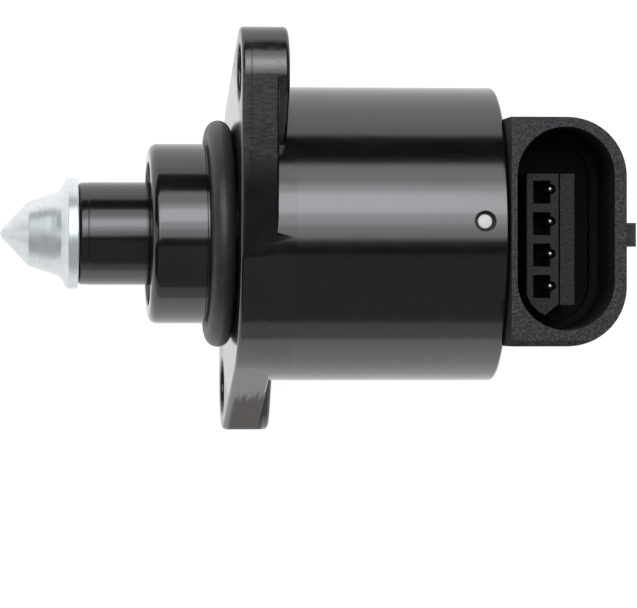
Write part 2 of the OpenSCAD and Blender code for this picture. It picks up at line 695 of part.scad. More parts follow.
// The moulding: disc in the can, neck, connector with its socket, tongue and latch tab
module connector_moulding() color([0.24, 0.24, 0.26]) difference() {
    union() {
        difference() {
            union() {
                ring(0, can_in_r, disc_x, disc_end_x);
                ring(0, can_mouth_r - seat_gap, disc_end_x - eps, tower_x + eps);
                intersection() {
                    translate([0, 0, -tower_r - 1]) linear_extrude(tower_r + 1 + tower_top) tower_outline();
                    to_x() translate([0, 0, tower_x]) linear_extrude(tower_w) end_outline();
                }
            }
            translate([0, 0, ledge_z]) linear_extrude(mouth_depth + 1) mouth_outline(0);
            translate([0, 0, floor_z]) linear_extrude(mouth_depth + 1) mouth_outline(ledge_w);
            translate([tower_end_x, -tower_r - 1, slope_z]) rotate([0, -40, 0])
                translate([-20, 0, -30]) cube([40, tower_h + 2, 30]);
            for (side = [0, 1]) mirror([0, side, 0])
                translate([tower_x - 1, tower_r - rim_bevel, tower_top]) rotate([-25, 0, 0])
                    cube([tower_w + 2, 3, 3]);
        }
        tongue();
        translate([peg_x, peg_y, floor_z - 0.5]) cylinder(r = peg_d / 2, h = ledge_h + 3);
        translate([tower_end_x - 0.5, tab_shift + tab_w / 2, tab_top]) rotate([90, 0, 0]) linear_extrude(tab_w)
            polygon([[0, -5], [0.5, -5], [0.5 + tab_out, -1.6], [0.5 + tab_out, 0], [0, 0]]);
    }
    ring(0, bush_r, disc_x - 1, pocket_end_x);
    for (i = [0:terminal_n - 1]) terminal_shape(i);
    at_stake() translate([0, 0, can_in_r - 1.4]) cylinder(r = plug_d / 2, h = 3);
}

flange_housing();
guide_sleeve();
pintle();
lead_screw();
pintle_spring();
screw_guide();
o_ring();
spring_washer();
bearing_outer_race();
bearing_inner_race();
bearing_balls();
bearing_cage();
snap_ring();
rotor_hub();
rotor_magnet();
rear_bush();
front_stator_cup();
front_stator_plate();
rear_stator_plate();
rear_stator_cup();
front_bobbin();
rear_bobbin();
front_coil();
rear_coil();
motor_can();
connector_moulding();
staking_plug();
terminal(0);  // terminal_1
terminal(1);  // terminal_2
terminal(2);  // terminal_3
terminal(3);  // terminal_4
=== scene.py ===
import math

import bmesh
import bpy
from mathutils import Matrix, Vector


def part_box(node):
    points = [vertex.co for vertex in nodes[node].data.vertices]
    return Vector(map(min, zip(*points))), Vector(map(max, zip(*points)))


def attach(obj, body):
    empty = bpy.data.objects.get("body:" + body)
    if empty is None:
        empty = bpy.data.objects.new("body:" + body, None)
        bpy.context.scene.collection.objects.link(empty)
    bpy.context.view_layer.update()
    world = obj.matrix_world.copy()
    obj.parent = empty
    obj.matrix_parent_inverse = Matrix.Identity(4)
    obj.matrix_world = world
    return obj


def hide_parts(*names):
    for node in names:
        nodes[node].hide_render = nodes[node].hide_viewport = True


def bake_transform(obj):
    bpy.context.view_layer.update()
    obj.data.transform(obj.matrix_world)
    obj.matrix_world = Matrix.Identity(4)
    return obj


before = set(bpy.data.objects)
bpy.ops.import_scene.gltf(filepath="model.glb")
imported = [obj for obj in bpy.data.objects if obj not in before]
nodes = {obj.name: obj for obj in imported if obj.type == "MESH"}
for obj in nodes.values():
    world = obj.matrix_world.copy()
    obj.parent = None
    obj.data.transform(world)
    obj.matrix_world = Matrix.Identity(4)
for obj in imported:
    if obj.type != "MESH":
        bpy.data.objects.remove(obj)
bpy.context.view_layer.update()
mm = 0.001
print("frame loaded")


def span(node):
    # where a CAD node starts and ends along the valve's axis, in millimetres
    low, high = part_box(node)
    return low[0] / mm, high[0] / mm


def roundCorners(corners, closed=True, steps=5):
    # corners are (x, r) or (x, r, fillet); returns points with each fillet as an arc
    points = []
    count = len(corners)
    for i, corner in enumerate(corners):
        fillet = corner[2] if len(corner) > 2 else 0
        here = Vector(corner[:2])
        if not fillet or (not closed and i in (0, count - 1)):
            points.append(tuple(here))
            continue
        before = Vector(corners[i - 1][:2]) - here
        after = Vector(corners[(i + 1) % count][:2]) - here
        u, v = before.normalized(), after.normalized()
        half = math.acos(max(-1, min(1, u.dot(v)))) / 2
        if half > math.pi / 2 - 0.02:
            points.append(tuple(here))
            continue
        reach = min(fillet / math.tan(half), before.length * 0.49, after.length * 0.49)
        radius = reach * math.tan(half)
        centre = here + (u + v).normalized() * (radius / math.sin(half))
        a, b = here + u * reach - centre, here + v * reach - centre
        turn = math.pi - 2 * half
        for k in range(steps + 1):
            t = k / steps
            p = (a * math.sin((1 - t) * turn) + b * math.sin(t * turn)) / math.sin(turn)
            points.append(tuple(centre + p))
    return points


def meshFrom(name, verts, faces, crease=32):
    mesh = bpy.data.meshes.new(name)
    mesh.from_pydata([tuple(Vector(v) * mm) for v in verts], [], faces)
    piece = bpy.data.objects.new(name, mesh)
    bpy.context.scene.collection.objects.link(piece)
    bm = bmesh.new()
    bm.from_mesh(mesh)
    bmesh.ops.remove_doubles(bm, verts=bm.verts, dist=1e-7)
    bmesh.ops.recalc_face_normals(bm, faces=bm.faces)
    bm.to_mesh(mesh)
    bm.free()
    smoothByAngle(mesh, crease)
    return piece


def smoothByAngle(mesh, crease):
    bm = bmesh.new()
    bm.from_mesh(mesh)
    for face in bm.faces:
        face.smooth = True
    for edge in bm.edges:
        edge.smooth = not (len(edge.link_faces) == 2 and edge.calc_face_angle(0) > math.radians(crease))
    bm.to_mesh(mesh)
    bm.free()


def turned(name, profile, closed=True, sides=144, place=None, crease=32):
    # turns a profile of (x, r) round the X axis; an open profile starts and ends on the axis
    verts, faces, rings = [], [], []
    for x, r in profile:
        if r < 1e-6:
            rings.append([len(verts)] * sides)
            verts.append((x, 0, 0))
            continue
        rings.append([len(verts) + k for k in range(sides)])
        verts += [(x, r * math.cos(2 * math.pi * k / sides), r * math.sin(2 * math.pi * k / sides))
                  for k in range(sides)]
    spans = len(profile) if closed else len(profile) - 1
    for i in range(spans):
        a, b = rings[i], rings[(i + 1) % len(profile)]
        for k in range(sides):
            n = (k + 1) % sides
            face = [a[k], a[n], b[n], b[k]]
            face = [v for j, v in enumerate(face) if v != face[j - 1]]
            if len(face) > 2:
                faces.append(face)
    if place:
        verts = [tuple(place @ Vector(v)) for v in verts]
    return meshFrom(name, verts, faces, crease)


def lofted(name, rings):
    # joins outlines of equal length, with a flat face at both ends
    count = len(rings[0])
    verts = [v for ring in rings for v in ring]
    faces = [list(range(count))[::-1], [(len(rings) - 1) * count + k for k in range(count)]]
    for i in range(len(rings) - 1):
        for k in range(count):
            n = (k + 1) % count
            faces.append([i * count + k, i * count + n, (i + 1) * count + n, (i + 1) * count + k])
    return meshFrom(name, verts, faces)


def combine(piece, other, operation):
    # joins or cuts with another solid, which is then removed
    step = piece.modifiers.new("solid", "BOOLEAN")
    step.operation = operation
    step.solver = "EXACT"
    step.object = other
    graph = bpy.context.evaluated_depsgraph_get()
    graph.update()
    made = bpy.data.meshes.new_from_object(piece.evaluated_get(graph))
    piece.modifiers.remove(step)
    old = piece.data
    piece.data = made
    bpy.data.meshes.remove(old)
    bpy.data.objects.remove(other)


def evenNormals(piece):
    step = piece.modifiers.new("even normals", "WEIGHTED_NORMAL")
    step.keep_sharp = True
    step.weight = 60
    return piece


def softenEdges(node, width, segments=3):
    # breaks the sharp edges of a solid that is kept as it comes
    piece = nodes[node]
    flat = piece.modifiers.new("merge flats", "DECIMATE")
    flat.decimate_type = "DISSOLVE"
    flat.angle_limit = math.radians(1.2)
    bevel = piece.modifiers.new("break edges", "BEVEL")
    bevel.width = width * mm
    bevel.segments = segments
    bevel.limit_method = "ANGLE"
    bevel.angle_limit = math.radians(30)
    bevel.harden_normals = False
    bevel.miter_outer = "MITER_ARC"
    evenNormals(piece)
    for face in piece.data.polygons:
        face.use_smooth = True


class Wire:
    # a socket of a material's node tree, with the arithmetic used on it
    def __init__(self, finish, socket):
        self.finish, self.socket = finish, socket

    def maths(self, operation, *values):
        return self.finish.node("Math", {"operation": operation}, dict(enumerate(values)))["Value"]

    def __add__(self, other):
        return self.maths("ADD", self, other)

    def __sub__(self, other):
        return self.maths("SUBTRACT", self, other)

    def __rsub__(self, other):
        return self.maths("SUBTRACT", other, self)

    def __mul__(self, other):
        return self.maths("MULTIPLY", self, other)

    def __pow__(self, other):
        return self.maths("POWER", self, other)

    __radd__ = __add__
    __rmul__ = __mul__

    def absolute(self):
        return self.maths("ABSOLUTE", self)

    def above(self, limit):
        return self.maths("GREATER_THAN", self, limit)

    def band(self, low, high):
        # 0 below low, 1 above high, and an even rise between them
        return self.finish.node("MapRange", {"interpolation_type": "SMOOTHSTEP"},
                                {"Value": self, "From Min": low, "From Max": high})["Result"]


class Placed:
    # a node that hands out its outputs by name
    def __init__(self, finish, made):
        self.finish, self.made = finish, made

    def __getitem__(self, name):
        return Wire(self.finish, self.made.outputs[name])


class Finish:
    def __init__(self, name, base, roughness, metallic=0.0, coat=0.0, coatRoughness=0.05, ior=1.5):
        self.material = bpy.data.materials.new(name)
        self.material.use_nodes = True
        self.tree = self.material.node_tree
        self.shader = self.tree.nodes["Principled BSDF"]
        self.set("Base Color", (*base, 1))
        self.set("Roughness", roughness)
        self.set("Metallic", metallic)
        self.set("Coat Weight", coat)
        self.set("Coat Roughness", coatRoughness)
        self.set("IOR", ior)
        where = self.node("TexCoord", {}, {})["Object"]
        self.where = where
        split = self.node("SeparateXYZ", {}, {"Vector": where})
        self.x, self.y, self.z = split["X"], split["Y"], split["Z"]
        self.bumps = []

    def node(self, kind, settings, sockets):
        made = self.tree.nodes.new("ShaderNode" + kind)
        for key, value in settings.items():
            setattr(made, key, value)
        for key, value in sockets.items():
            if isinstance(value, Wire):
                self.tree.links.new(value.socket, made.inputs[key])
            else:
                made.inputs[key].default_value = value
        return Placed(self, made)

    def set(self, name, value):
        if isinstance(value, Wire):
            self.tree.links.new(value.socket, self.shader.inputs[name])
        else:
            self.shader.inputs[name].default_value = value

    def noise(self, size, detail, where=None, rough=0.5):
        # size is that of the largest features, in millimetres
        return self.node("TexNoise", {}, {"Vector": where or self.where, "Scale": 1 / (size * mm),
                                          "Detail": detail, "Roughness": rough})["Fac"]

    def cells(self, size, feature="F1"):
        return self.node("TexVoronoi", {"feature": feature},
                         {"Vector": self.where, "Scale": 1 / (size * mm)})["Distance"]

    def stretched(self, x, y, z):
        return self.node("Mapping", {}, {"Vector": self.where, "Scale": (x, y, z)})["Vector"]

    def wrapped(self, along=1.0, around=1.0, outward=1.0):
        # coordinates that follow a turned surface: station, arc length and radius
        radius = (self.y * self.y + self.z * self.z) ** 0.5
        angle = radius.maths("ARCTAN2", self.y, self.z)
        return self.node("CombineXYZ", {}, {"X": self.x * along, "Y": angle * (0.012 * around),
                                            "Z": radius * outward})["Vector"]

    def mix(self, factor, first, second):
        made = self.node("Mix", {"data_type": "RGBA"}, {})
        for slot, value in ((0, factor), (6, first), (7, second)):
            if isinstance(value, Wire):
                self.tree.links.new(value.socket, made.made.inputs[slot])
            else:
                made.made.inputs[slot].default_value = value if slot == 0 else (*value, 1)
        return Wire(self, made.made.outputs[2])

    def relief(self, height, depth, strength):
        # adds a relief of the given depth in millimetres
        self.bumps.append((height, depth * mm, strength))

    def done(self):
        last = None
        for height, depth, strength in self.bumps:
            sockets = {"Height": height, "Distance": depth, "Strength": strength}
            if last:
                sockets["Normal"] = last
            last = self.node("Bump", {}, sockets)["Normal"]
        if last:
            self.set("Normal", last)
        return self.material


def coatedCasting():
    # the ears are rubbed and carry the die's parting line at seamX; the lower ear's end is filed bare
    look = {"base": (0.006, 0.006, 0.0065), "worn": (0.011, 0.011, 0.012), "rubbed": (0.030, 0.025, 0.020),
            "bare": (0.070, 0.046, 0.024), "gloss": 0.10, "ior": 1.75, "seamX": 0.00105,
            "ears": (0.0178, 0.0200), "filedFront": (0.0003, 0.0009), "filedRear": (0.0044, 0.0047),
            "filedBelow": (0.0194, 0.0210)}
    f = Finish("coatedCasting", look["base"], look["gloss"], ior=look["ior"])
    ears = ((f.y * f.y + f.z * f.z) ** 0.5).band(*look["ears"])
    streaks = f.noise(0.22, 3, f.stretched(0.25, 1, 1), 0.6) * ears
    coat = f.mix(f.noise(6.0, 3).band(0.35, 0.75), look["base"], look["worn"])
    filed = f.noise(0.30, 3, f.stretched(1, 0.12, 0.12), 0.65)
    bare = (filed * 0.0030 - f.y).band(*look["filedBelow"])
    bare = bare * f.x.band(*look["filedFront"]) * (1 - f.x.band(*look["filedRear"]))
    coat = f.mix(streaks.band(0.40, 0.70), coat, look["rubbed"])
    f.set("Base Color", f.mix(bare * filed.band(0.40, 0.60), coat, look["bare"]))
    f.set("Roughness", look["gloss"] + f.noise(3.0, 4) * 0.06 + streaks * 0.16 + bare * (0.22 + filed * 0.5))
    f.relief(filed * bare, 0.05, 0.8)
    f.relief((f.x - look["seamX"]).absolute().band(0.00009, 0.00003) * ears, 0.03, 0.6)
    f.relief(streaks, 0.004, 0.4)
    f.relief(f.noise(1.6, 2), 0.012, 0.3)
    f.relief(f.noise(0.22, 3), 0.003, 0.3)
    return f.done()


def drawnCan():
    look = {"base": (0.002, 0.002, 0.0023), "worn": (0.005, 0.005, 0.0055), "gloss": 0.11, "ior": 1.8}
    f = Finish("drawnCan", look["base"], look["gloss"], ior=look["ior"])
    streaks = f.noise(0.35, 3, f.wrapped(0.14, 1.0, 0.2), 0.62)
    fine = f.noise(0.16, 3)
    f.set("Roughness", look["gloss"] + streaks * 0.07 + fine * 0.03)
    f.set("Base Color", f.mix(streaks.band(0.3, 0.8), look["base"], look["worn"]))
    f.relief(streaks, 0.003, 0.3)
    f.relief(fine, 0.003, 0.35)
    return f.done()


def darkTube():
    look = {"base": (0.006, 0.006, 0.007), "gloss": 0.12, "ior": 1.7}
    f = Finish("darkTube", look["base"], look["gloss"], ior=look["ior"])
    rings = f.noise(0.12, 2, f.wrapped(1.0, 0.02, 0.2))
    f.set("Roughness", look["gloss"] + rings * 0.06 + f.noise(2.0, 3) * 0.04)
    f.relief(rings, 0.002, 0.4)
    f.relief(f.noise(0.4, 2), 0.002, 0.3)
    return f.done()


def zincPlate():
    look = {"base": (0.73, 0.77, 0.79), "cloud": (0.82, 0.86, 0.87), "gloss": 0.21}
    f = Finish("zincPlate", look["base"], look["gloss"], metallic=0.50)
    rings = f.noise(0.09, 3, f.wrapped(1.0, 0.01, 1.0))
    cloud = f.noise(1.4, 4)
    f.set("Base Color", f.mix(cloud.band(0.3, 0.7), look["base"], look["cloud"]))
    f.set("Roughness", look["gloss"] + rings * 0.10 + cloud * 0.06)
    f.relief(rings, 0.0015, 0.3)
    f.relief(f.noise(0.5, 3), 0.004, 0.3)
    return f.done()


def sealRubber():
    look = {"base": (0.030, 0.030, 0.030), "dark": (0.026, 0.026, 0.026), "pale": (0.042, 0.042, 0.042),
            "gloss": 0.38, "spread": 0.16}
    f = Finish("sealRubber", look["base"], 0.46, ior=1.5)
    grain = f.noise(0.10, 3)
    f.set("Roughness", look["gloss"] + grain * look["spread"])
    f.set("Base Color", f.mix(f.noise(1.5, 3).band(0.4, 0.8), look["dark"], look["pale"]))
    f.relief(grain, 0.010, 0.5)
    return f.done()


def grainedMoulding():
    # the mouth is a slot: its centre, the radius of its ends and half its straight part; inside it the colour is
    # painted shade, near black deep in the socket and fading out towards the rim
    look = {"base": (0.014, 0.014, 0.015), "worn": (0.062, 0.062, 0.066), "deep": (0.001, 0.001, 0.0012),
            "grain": 0.24, "gloss": 0.42, "mouth": (0.0364, 0.00035, 0.0058, 0.0059), "deepFrom": 0.003,
            "deepFade": (0.008, 0.0172)}
    f = Finish("grainedMoulding", look["base"], look["gloss"], ior=1.36)
    pebbles = f.cells(look["grain"], feature="SMOOTH_F1")
    fine = f.noise(0.09, 3)
    middleX, middleY, radius, straight = look["mouth"]
    across, past = f.x - middleX, (f.y - middleY).absolute() - straight
    past = past.maths("MAXIMUM", past, 0)
    outside = ((across * across + past * past) ** 0.5).above(radius)
    # painted shade: inside the mouth the base colour darkens with depth, and the roughness rises there
    deep = (1 - outside) * f.z.above(look["deepFrom"]) * (1 - f.z.band(*look["deepFade"]))
    # the lighter specks are partly the moulding's own mottled tone and partly painted highlights, standing in for
    # the sparkle of the grain
    grain = f.mix(f.noise(0.20, 3).band(0.38, 0.66), look["base"], look["worn"])
    f.set("Base Color", f.mix(deep, grain, look["deep"]))
    f.set("Roughness", look["gloss"] + fine * 0.12 + deep * 0.3)
    f.relief(pebbles, 0.050, 0.8)
    f.relief(fine, 0.020, 0.6)
    return f.done()


def tinnedContact():
    look = {"base": (0.40, 0.38, 0.34), "gloss": 0.2, "spread": 0.2}
    f = Finish("tinnedContact", look["base"], 0.3, metallic=1.0)
    f.set("Roughness", look["gloss"] + f.noise(0.3, 3) * look["spread"])
    f.relief(f.noise(0.08, 2, f.stretched(1, 1, 0.15)), 0.004, 0.4)
    return f.done()


# painted highlight: this near-white finish on the plug in the can's small hole stands in for the bright spot of
# light in the staking dimple
def paintedHighlightFill():
    look = {"base": (0.86, 0.86, 0.83), "gloss": 0.38, "spread": 0.2}
    f = Finish("paintedHighlightFill", look["base"], 0.45)
    f.set("Roughness", look["gloss"] + f.noise(0.4, 3) * look["spread"])
    f.relief(f.noise(0.3, 3), 0.02, 0.4)
    return f.done()


def groundSteel(name="groundSteel", tone=(0.56, 0.57, 0.58), roughness=0.22):
    f = Finish(name, tone, roughness, metallic=1.0)
    lines = f.noise(0.07, 3, f.wrapped(1.0, 0.02, 1.0))
    cloud = f.noise(2.5, 4)
    darker = tuple(0.82 * c for c in tone)
    f.set("Base Color", f.mix(cloud.band(0.35, 0.7), tone, darker))
    f.set("Roughness", roughness + lines * 0.12 + cloud * 0.06)
    f.relief(lines, 0.003, 0.5)
    return f.done()


def rolledSheet():
    look = {"base": (0.52, 0.53, 0.54), "pale": (0.54, 0.55, 0.56), "dark": (0.42, 0.43, 0.44),
            "gloss": 0.28, "spread": 0.2}
    f = Finish("rolledSheet", look["base"], 0.34, metallic=1.0)
    grain = f.noise(0.12, 3, f.stretched(1.0, 1.0, 0.06))
    f.set("Base Color", f.mix(f.noise(3.5, 4).band(0.35, 0.7), look["pale"], look["dark"]))
    f.set("Roughness", look["gloss"] + grain * look["spread"])
    f.relief(grain, 0.004, 0.5)
    return f.done()


def sinteredMagnet():
    look = {"base": (0.055, 0.052, 0.048), "pale": (0.085, 0.08, 0.075), "dark": (0.045, 0.042, 0.04),
            "gloss": 0.42, "spread": 0.3}
    f = Finish("sinteredMagnet", look["base"], 0.55, metallic=0.3)
    grain = f.noise(0.14, 4)
    f.set("Base Color", f.mix(f.cells(0.5).band(0.1, 0.5), look["pale"], look["dark"]))
    f.set("Roughness", look["gloss"] + grain * look["spread"])
    f.relief(grain, 0.015, 0.6)
    return f.done()


def sinteredBronze():
    look = {"base": (0.48, 0.30, 0.15), "pale": (0.50, 0.32, 0.16), "pore": (0.16, 0.10, 0.05),
            "gloss": 0.32, "spread": 0.4}
    f = Finish("sinteredBronze", look["base"], 0.4, metallic=1.0)
    pores = f.cells(0.22).band(0.28, 0.12)
    f.set("Base Color", f.mix(pores, look["pale"], look["pore"]))
    f.set("Roughness", look["gloss"] + pores * look["spread"])
    f.relief(pores * -1.0, 0.02, 0.5)
    return f.done()


def enamelledWire():
    look = {"base": (0.55, 0.20, 0.07), "pale": (0.60, 0.23, 0.08), "dark": (0.42, 0.14, 0.05),
            "gloss": 0.2, "spread": 0.15}
    f = Finish("enamelledWire", look["base"], 0.25, metallic=0.85, coat=0.6, coatRoughness=0.12)
    f.set("Base Color", f.mix(f.noise(0.8, 3).band(0.35, 0.7), look["pale"], look["dark"]))
    f.set("Roughness", look["gloss"] + f.noise(0.25, 3) * look["spread"])
    f.relief(f.noise(0.12, 2), 0.004, 0.4)
    return f.done()


def plainMoulding(name, tone, darker):
    f = Finish(name, tone, 0.45, ior=1.5)
    f.set("Base Color", f.mix(f.noise(1.8, 4).band(0.3, 0.75), tone, darker))
    f.set("Roughness", 0.36 + f.noise(0.5, 3) * 0.2)
    f.relief(f.noise(0.3, 3), 0.008, 0.4)
    return f.done()


blackCoat = coatedCasting()
canCoat = drawnCan()
tubeBlack = darkTube()
plated = zincPlate()
rubber = sealRubber()
moulding = grainedMoulding()
contact = tinnedContact()
highlightFill = paintedHighlightFill()
steel = groundSteel()
springSteel = groundSteel("springSteel", (0.30, 0.30, 0.31), 0.3)
sheet = rolledSheet()
magnet = sinteredMagnet()
bronze = sinteredBronze()
copper = enamelledWire()
natural = plainMoulding("naturalMoulding", (0.74, 0.69, 0.56), (0.66, 0.60, 0.47))
amber = plainMoulding("amberMoulding", (0.42, 0.27, 0.09), (0.33, 0.20, 0.06))
print("finishes made")


def dress(piece, finish):
    piece.data.materials.clear()
    piece.data.materials.append(finish)


def standIn(piece, node, body, finish):
    dress(piece, finish)
    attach(piece, body)
    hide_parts(node)


def keepNode(node, finish):
    for slot in nodes[node].material_slots:
        slot.material = finish


casting = {"noseR": 10.33, "noseX": -9.5, "noseEdge": 1.15, "recessR": 8.3, "recessDepth": 0.6,
           "grooveR": 10.17, "grooveX": -3.2, "thick": 4.2, "lugThick": 5.35, "holeAt": 22.5,
           "holeR": 3.25, "earR": 5.1, "collarR": 16.9, "collarX": 6.3, "clock": 37.5,
           "frontEdge": 0.45, "rearEdge": 0.35, "lugEdge": 0.5, "holeEdge": 0.35,
           "coreR": 5.0, "sleeveR": 5.9, "sleeveEnd": -4.0, "throatR": 4.7, "throatEnd": -3.0,
           "guideR": 7.0, "guideEnd": 0.2, "bearingR": 9.5, "clipR": 10.2, "clipFrom": 7.05, "clipTo": 7.9,
           "rootX": 0.6, "rootR": 14.0, "collarFrom": 3.0, "spigotR": 15.88, "spigotEnd": 9.35}


def clocked(u, v, x):
    # a point of the flange's own drawing, turned to the line of its holes
    a = math.radians(casting["clock"])
    return (x, u * math.cos(a) - v * math.sin(a), u * math.sin(a) + v * math.cos(a))


def flangeRing(inset, x):
    big, small, at = casting["collarR"] - inset, casting["earR"] - inset, casting["holeAt"]
    tangent = math.acos((casting["collarR"] - casting["earR"]) / at)
    ring = []
    for half in (0, math.pi):
        for k in range(33):
            a = half - tangent + 2 * tangent * k / 32
            ring.append(clocked(at * math.cos(half) + small * math.cos(a), small * math.sin(a), x))
        for k in range(1, 24):
            a = half + tangent + (math.pi - 2 * tangent) * k / 24
            ring.append(clocked(big * math.cos(a), big * math.sin(a), x))
    return ring


def lugRing(inset, x):
    w, at = casting["earR"] - inset, casting["holeAt"]
    ring = []
    for half in (0, math.pi):
        for k in range(33):
            a = half - math.pi / 2 + math.pi * k / 32
            ring.append(clocked(at * math.cos(half) + w * math.cos(a), w * math.sin(a), x))
    return ring


def quarterArc():
    # how far a quarter round of radius 1 has risen and has still to fall, at each step
    steps = 6
    return [(1 - math.cos(math.pi / 2 * k / steps), 1 - math.sin(math.pi / 2 * k / steps)) for k in range(steps + 1)]


def edgeSteps(x0, x1, e0, e1):
    # insets and stations of a plate with rounded edges
    front = [(e0 * fall, x0 + e0 * rise) for rise, fall in quarterArc()]
    return front + [(e1 * rise, x1 - e1 * fall) for rise, fall in quarterArc()]


def makeFlange():
    c = casting
    plateSteps = edgeSteps(0, c["thick"], c["frontEdge"], c["rearEdge"])
    plate = lofted("flangeHousing", [flangeRing(inset, x) for inset, x in plateSteps])
    lugSteps = edgeSteps(c["thick"] - 2.2, c["lugThick"], 0.3, c["lugEdge"])
    combine(plate, lofted("lugs", [lugRing(inset, x) for inset, x in lugSteps]), "UNION")
    recessX = c["noseX"] + c["recessDepth"]
    body = turned("body", roundCorners([
        (c["noseX"], c["coreR"]), (c["noseX"], c["sleeveR"], 0.1), (recessX, c["sleeveR"] + 0.001, 0.02),
        (recessX, c["recessR"], 0.15), (c["noseX"], c["recessR"], 0.12),
        (c["noseX"], c["noseR"], c["noseEdge"]), (c["grooveX"], c["noseR"], 0.15),
        (c["grooveX"], c["grooveR"], 0.03), (c["rootX"], c["grooveR"]), (c["rootX"], c["rootR"]),
        (c["collarFrom"], c["rootR"]), (c["collarFrom"], c["collarR"], 0.02), (c["collarX"], c["collarR"]),
        (c["collarX"], c["spigotR"]), (c["spigotEnd"], c["spigotR"], 0.3), (c["spigotEnd"], c["coreR"])]))
    combine(plate, body, "UNION")
    bore = [(-12, 0), (-12, c["sleeveR"]), (c["sleeveEnd"], c["sleeveR"]), (c["sleeveEnd"], c["throatR"]),
            (c["throatEnd"], c["throatR"]), (c["throatEnd"], c["guideR"]), (c["guideEnd"], c["guideR"]),
            (c["guideEnd"], c["bearingR"]), (c["clipFrom"], c["bearingR"]), (c["clipFrom"], c["clipR"]),
            (c["clipTo"], c["clipR"]), (c["clipTo"], c["bearingR"]), (9.1, c["bearingR"], 0.05),
            (9.8, c["clipR"]), (9.8, 0)]
    combine(plate, turned("bore", roundCorners(bore, closed=False), closed=False, sides=128), "DIFFERENCE")
    e, r, t = c["holeEdge"], c["holeR"], c["lugThick"]
    flare = [(-1, 0), (-1, r + e + 0.3)]
    flare += [(e * rise, r + e * fall) for rise, fall in quarterArc()]
    flare += [(t - e * fall, r + e * rise) for rise, fall in quarterArc()]
    flare += [(t + 1, r + e + 0.3), (t + 1, 0)]
    for half in (1, -1):
        shift = Matrix.Translation(Vector(clocked(half * c["holeAt"], 0, 0)))
        combine(plate, turned("hole", flare, closed=False, sides=72, place=shift), "DIFFERENCE")
    smoothByAngle(plate.data, 32)
    return evenNormals(plate)


standIn(makeFlange(), "flange_housing", "valve_body", blackCoat)
print("flange and nose made")


pintleShape = {"tip": span("pintle")[0], "coneR": 3.72, "coneLength": 3.21, "waistR": 4.52, "waistX": -20.72,
               "flare": [(-20.08, 4.76, 0.7), (-19.52, 5.10, 0.6), (-19.16, 5.77, 0.6), (-18.86, 6.24, 0.3)],
               "rimR": 6.35, "rimX": -18.75, "back": -17.6, "stemR": 4.5, "stemEnd": -15.0,
               "socketR": 1.9, "socketX": -15.6}


def makePintle():
    s = pintleShape
    tip = [(s["tip"], 0), (s["tip"] + 0.12, 0.42, 0.3), (s["tip"] + 0.42, 0.78, 0.4)]
    head = [(s["tip"] + s["coneLength"], s["coneR"], 0.25), (s["waistX"], s["waistR"], 0.5)] + s["flare"]
    rim = [(s["rimX"], s["rimR"], 0.12), (s["back"], s["rimR"], 0.14)]
    stem = [(s["back"], s["stemR"], 0.1), (s["stemEnd"], s["stemR"], 0.25), (s["stemEnd"], s["socketR"]),
            (s["socketX"], s["socketR"]), (s["socketX"], 0)]
    return turned("pintle", roundCorners(tip + head + rim + stem, closed=False, steps=6),
                  closed=False, sides=160, crease=40)


sleeveShape = {"front": -17.5, "end": -4.0, "r": 5.9, "bore": 4.7, "groove": (-16.54, -16.38), "grooveDepth": 0.05}


def makeSleeve():
    s = sleeveShape
    low, (grooveFrom, grooveTo) = s["r"] - s["grooveDepth"], s["groove"]
    return turned("guideSleeve", roundCorners([
        (s["front"], s["bore"] + 0.05, 0.1), (s["front"], s["r"] - 0.06, 0.35), (grooveFrom, s["r"] - 0.02, 0.05),
        (grooveFrom + 0.04, low, 0.03), (grooveTo - 0.04, low, 0.03), (grooveTo, s["r"], 0.05),
        (s["end"], s["r"], 0.2), (s["end"], s["bore"], 0.1)], steps=6), sides=160)


sealShape = {"section": 1.42, "inner": 10.18, "x": -1.5, "flash": 0.02}


def makeSeal():
    s = sealShape
    loop = []
    for k in range(56):
        a = 2 * math.pi * k / 56
        swell = s["flash"] * math.exp(-(math.sin(a) / 0.05) ** 2)
        reach = s["section"] + swell
        loop.append((s["x"] + reach * math.sin(a), s["inner"] + s["section"] + reach * math.cos(a)))
    return turned("sealRing", loop, sides=192, crease=60)


standIn(makePintle(), "pintle", "plunger", plated)
standIn(makeSleeve(), "guide_sleeve", "valve_body", tubeBlack)
standIn(makeSeal(), "o_ring", "valve_body", rubber)
print("pintle, sleeve and seal made")


canShape = {"front": 6.302, "end": span("motor_can")[1], "r": 16.9, "wall": 1.0, "edge": 0.4, "mouth": 13.45,
            "holeR": 1.15, "holeX": span("motor_can")[1] - 2.8, "holeClock": 4, "holeEdge": 0.12}


def stakePlace(depth):
    # turns a thing drawn along +X to stand on the can's wall at the small hole
    a = math.radians(canShape["holeClock"])
    out = Vector((0, math.sin(a), math.cos(a)))
    turn = Matrix((out, Vector((1, 0, 0)), out.cross(Vector((1, 0, 0))))).transposed().to_4x4()
    return Matrix.Translation(Vector((canShape["holeX"], 0, 0)) + out * depth) @ turn


def makeCan():
    s = canShape
    can = turned("motorCan", roundCorners([
        (s["front"], s["r"] - s["wall"]), (s["front"], s["r"]), (s["end"], s["r"], s["edge"]),
        (s["end"], s["mouth"], 0.3), (s["end"] - s["wall"], s["mouth"], 0.15),
        (s["end"] - s["wall"], s["r"] - s["wall"], 0.1)], steps=10), sides=256)
    e, r = s["holeEdge"], s["holeR"]
    drill = turned("drill", [(-1.5, 0), (-1.5, r), (-e, r), (-e * 0.4, r + e * 0.3), (0.02, r + e),
                             (0.6, r + e + 0.4), (0.6, 0)], closed=False, sides=48, place=stakePlace(s["r"]))
    combine(can, drill, "DIFFERENCE")
    smoothByAngle(can.data, 32)
    return evenNormals(can)


# stations run outwards from the can's skin, so those below it are negative
plugShape = {"root": -2.3, "rim": -0.5, "top": -0.42, "r": 0.8, "edge": 0.12}


